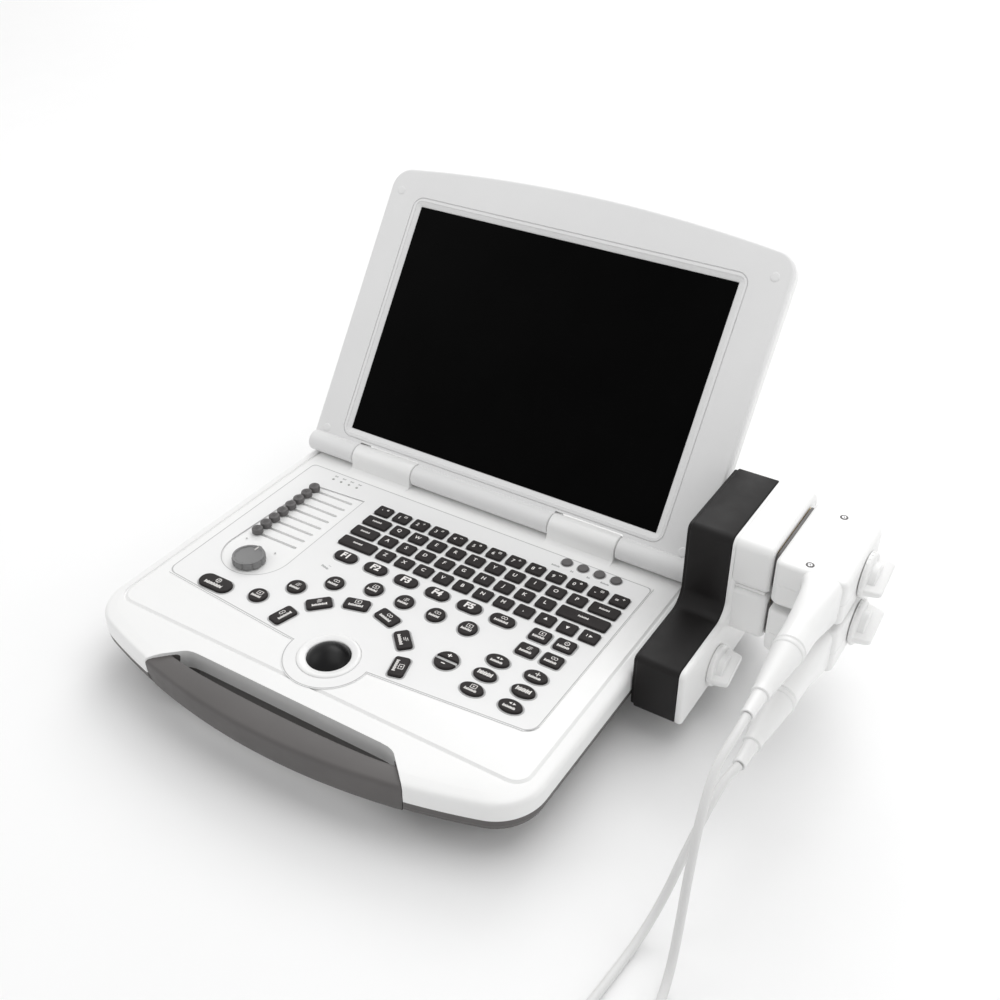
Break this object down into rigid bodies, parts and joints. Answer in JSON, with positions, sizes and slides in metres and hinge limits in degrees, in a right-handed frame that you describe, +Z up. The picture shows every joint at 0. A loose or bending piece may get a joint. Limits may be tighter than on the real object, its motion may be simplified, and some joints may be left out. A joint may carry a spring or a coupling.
{
  "type": "laptop ultrasound scanner",
  "caption": "Laptop-style ultrasound scanner: hinged screen lid, keyed deck with trackball and gain sliders, front carry handle, side adapter holding probe plugs on cables.",
  "frame": {"origin": "centre of the whole scanner's footprint box, lid open and probe plugs fitted, on the plane the rubber feet stand on", "axes": "+Z up; the operator sits towards -Y; +X is the operator's right, the side the probe adapter is on"},
  "size_m": [0.5493, 0.6756, 0.2624],
  "materials": {
    "white_shell": "fine satin, moulded",
    "dark_shell": "fine texture, moulded",
    "black_shell": "satin, moulded",
    "lid_face": "satin, moulded",
    "key_dark": "matte, printed marks",
    "control_grey": "matte",
    "knob_grey": "matte",
    "ball_black": "polished",
    "film": "matte polyester film",
    "screen": "gloss black",
    "soft_rubber": "matte",
    "cable_jacket": "satin",
    "relief": "satin",
    "steel": "satin",
    "board": "solder mask",
    "battery": "sleeved",
    "led": "diffused",
    "contacts": "plated"
  },
  "bodies": {
    "base": {"lower_case": "dark_shell", "upper_case": "white_shell", "carry_handle": "dark_shell", "rubber_feet": "soft_rubber", "case_screws": "steel", "control_overlay": "film", "control_board": "board", "status_leds": "led", "main_board": "board", "battery_pack": "battery", "cooling_fan": "black_shell", "port_panel": "black_shell", "trackball_ring": "white_shell"},
    "fan": {"fan_rotor": "black_shell"},
    "ball": {"trackball": "ball_black"},
    "gain": {"gain_knob": "knob_grey"},
    "tgc_1": {"tgc_slider_1": "control_grey"},
    "tgc_2": {"tgc_slider_2": "control_grey"},
    "tgc_3": {"tgc_slider_3": "control_grey"},
    "tgc_4": {"tgc_slider_4": "control_grey"},
    "tgc_5": {"tgc_slider_5": "control_grey"},
    "tgc_6": {"tgc_slider_6": "control_grey"},
    "tgc_7": {"tgc_slider_7": "control_grey"},
    "tgc_8": {"tgc_slider_8": "control_grey"},
    "menu_1": {"menu_button_1": "control_grey"},
    "menu_2": {"menu_button_2": "control_grey"},
    "menu_3": {"menu_button_3": "control_grey"},
    "menu_4": {"menu_button_4": "control_grey"},
    "row_1": {"key_row_1": "key_dark"},
    "row_2": {"key_row_2": "key_dark"},
    "row_3": {"key_row_3": "key_dark"},
    "row_4": {"key_row_4": "key_dark"},
    "mode": {"mode_keys": "key_dark"},
    "freeze": {"freeze_key": "key_dark"},
    "round": {"round_keys": "key_dark"},
    "arc": {"arc_keys": "key_dark"},
    "function": {"function_keys": "key_dark"},
    "rocker": {"gain_rocker": "key_dark"},
    "lid": {"lid_bezel": "lid_face", "lid_shell": "white_shell", "lcd_panel": "screen", "lid_bumpers": "relief", "hinge_pins": "steel"},
    "adapter": {"adapter_inner": "black_shell", "adapter_outer": "white_shell", "probe_sockets": "contacts"},
    "adapter_lock": {"adapter_knob": "white_shell"},
    "plug_1": {"probe_plug_1": "white_shell", "strain_relief_1": "relief", "cable_1": "cable_jacket", "cable_coil_1": "cable_jacket", "transducer_1": "white_shell"},
    "plug_1_lock": {"plug_knob_1": "white_shell"},
    "plug_2": {"probe_plug_2": "white_shell", "strain_relief_2": "relief", "cable_2": "cable_jacket", "cable_coil_2": "cable_jacket", "transducer_2": "white_shell"},
    "plug_2_lock": {"plug_knob_2": "white_shell"}
  },
  "joints": [
    {"name": "fan_spin", "type": "hinge", "parent": "base", "child": "fan", "pos_m": [0.0297, 0.04086, 0.015], "axis": [0, 0, 1], "continuous": true},
    {"name": "ball_roll", "type": "hinge", "parent": "base", "child": "ball", "pos_m": [-0.0653, -0.13914, 0.03855], "axis": [1, 0, 0], "continuous": true},
    {"name": "gain_turn", "type": "hinge", "parent": "base", "child": "gain", "pos_m": [-0.1818, -0.08814, 0.05], "axis": [0, 0, 1], "range_deg": [-150, 150]},
    {"name": "tgc_1_slide", "type": "slide", "parent": "base", "child": "tgc_1", "axis": [1, 0, 0], "range_m": [0, 0.035]},
    {"name": "tgc_2_slide", "type": "slide", "parent": "base", "child": "tgc_2", "axis": [1, 0, 0], "range_m": [0, 0.035]},
    {"name": "tgc_3_slide", "type": "slide", "parent": "base", "child": "tgc_3", "axis": [1, 0, 0], "range_m": [0, 0.035]},
    {"name": "tgc_4_slide", "type": "slide", "parent": "base", "child": "tgc_4", "axis": [1, 0, 0], "range_m": [0, 0.035]},
    {"name": "tgc_5_slide", "type": "slide", "parent": "base", "child": "tgc_5", "axis": [1, 0, 0], "range_m": [0, 0.035]},
    {"name": "tgc_6_slide", "type": "slide", "parent": "base", "child": "tgc_6", "axis": [1, 0, 0], "range_m": [0, 0.035]},
    {"name": "tgc_7_slide", "type": "slide", "parent": "base", "child": "tgc_7", "axis": [1, 0, 0], "range_m": [0, 0.035]},
    {"name": "tgc_8_slide", "type": "slide", "parent": "base", "child": "tgc_8", "axis": [1, 0, 0], "range_m": [0, 0.035]},
    {"name": "menu_1_press", "type": "slide", "parent": "base", "child": "menu_1", "axis": [0, 0, -1], "range_m": [0, 0.0012], "stiffness_N_per_m": 250, "springref_m": -0.001},
    {"name": "menu_2_press", "type": "slide", "parent": "base", "child": "menu_2", "axis": [0, 0, -1], "range_m": [0, 0.0012], "stiffness_N_per_m": 250, "springref_m": -0.001},
    {"name": "menu_3_press", "type": "slide", "parent": "base", "child": "menu_3", "axis": [0, 0, -1], "range_m": [0, 0.0012], "stiffness_N_per_m": 250, "springref_m": -0.001},
    {"name": "menu_4_press", "type": "slide", "parent": "base", "child": "menu_4", "axis": [0, 0, -1], "range_m": [0, 0.0012], "stiffness_N_per_m": 250, "springref_m": -0.001},
    {"name": "row_1_press", "type": "slide", "parent": "base", "child": "row_1", "axis": [0, 0, -1], "range_m": [0, 0.0012], "stiffness_N_per_m": 900, "springref_m": -0.001},
    {"name": "row_2_press", "type": "slide", "parent": "base", "child": "row_2", "axis": [0, 0, -1], "range_m": [0, 0.0012], "stiffness_N_per_m": 900, "springref_m": -0.001},
    {"name": "row_3_press", "type": "slide", "parent": "base", "child": "row_3", "axis": [0, 0, -1], "range_m": [0, 0.0012], "stiffness_N_per_m": 900, "springref_m": -0.001},
    {"name": "row_4_press", "type": "slide", "parent": "base", "child": "row_4", "axis": [0, 0, -1], "range_m": [0, 0.0012], "stiffness_N_per_m": 900, "springref_m": -0.001},
    {"name": "mode_press", "type": "slide", "parent": "base", "child": "mode", "axis": [0, 0, -1], "range_m": [0, 0.0012], "stiffness_N_per_m": 700, "springref_m": -0.001},
    {"name": "freeze_press", "type": "slide", "parent": "base", "child": "freeze", "axis": [0, 0, -1], "range_m": [0, 0.0012], "stiffness_N_per_m": 300, "springref_m": -0.001},
    {"name": "round_press", "type": "slide", "parent": "base", "child": "round", "axis": [0, 0, -1], "range_m": [0, 0.0012], "stiffness_N_per_m": 700, "springref_m": -0.001},
    {"name": "arc_press", "type": "slide", "parent": "base", "child": "arc", "axis": [0, 0, -1], "range_m": [0, 0.0012], "stiffness_N_per_m": 700, "springref_m": -0.001},
    {"name": "function_press", "type": "slide", "parent": "base", "child": "function", "axis": [0, 0, -1], "range_m": [0, 0.0012], "stiffness_N_per_m": 800, "springref_m": -0.001},
    {"name": "rocker_tilt", "type": "hinge", "parent": "base", "child": "rocker", "pos_m": [0.0052, -0.10164, 0.0484], "axis": [1, 0, 0], "range_deg": [-4, 4], "stiffness_Nm_per_rad": 0.05},
    {"name": "lid_hinge", "type": "hinge", "parent": "base", "child": "lid", "pos_m": [-0.0668, 0.06286, 0.059], "axis": [1, 0, 0], "range_deg": [-15, 125.5]},
    {"name": "adapter_slide", "type": "slide", "parent": "base", "child": "adapter", "axis": [1, 0, 0], "range_m": [0, 0.016]},
    {"name": "adapter_lock_turn", "type": "hinge", "parent": "adapter", "child": "adapter_lock", "pos_m": [0.1544, 0.00386, 0.039], "axis": [1, 0, 0], "range_deg": [0, 90]},
    {"name": "plug_1_slide", "type": "slide", "parent": "adapter", "child": "plug_1", "axis": [1, 0, 0], "range_m": [0, 0.018]},
    {"name": "plug_1_lock_turn", "type": "hinge", "parent": "plug_1", "child": "plug_1_lock", "pos_m": [0.2294, 0.05586, 0.114], "axis": [1, 0, 0], "range_deg": [0, 90]},
    {"name": "plug_2_slide", "type": "slide", "parent": "adapter", "child": "plug_2", "axis": [1, 0, 0], "range_m": [0, 0.018]},
    {"name": "plug_2_lock_turn", "type": "hinge", "parent": "plug_2", "child": "plug_2_lock", "pos_m": [0.2294, 0.05586, 0.074], "axis": [1, 0, 0], "range_deg": [0, 90]}
  ]
}
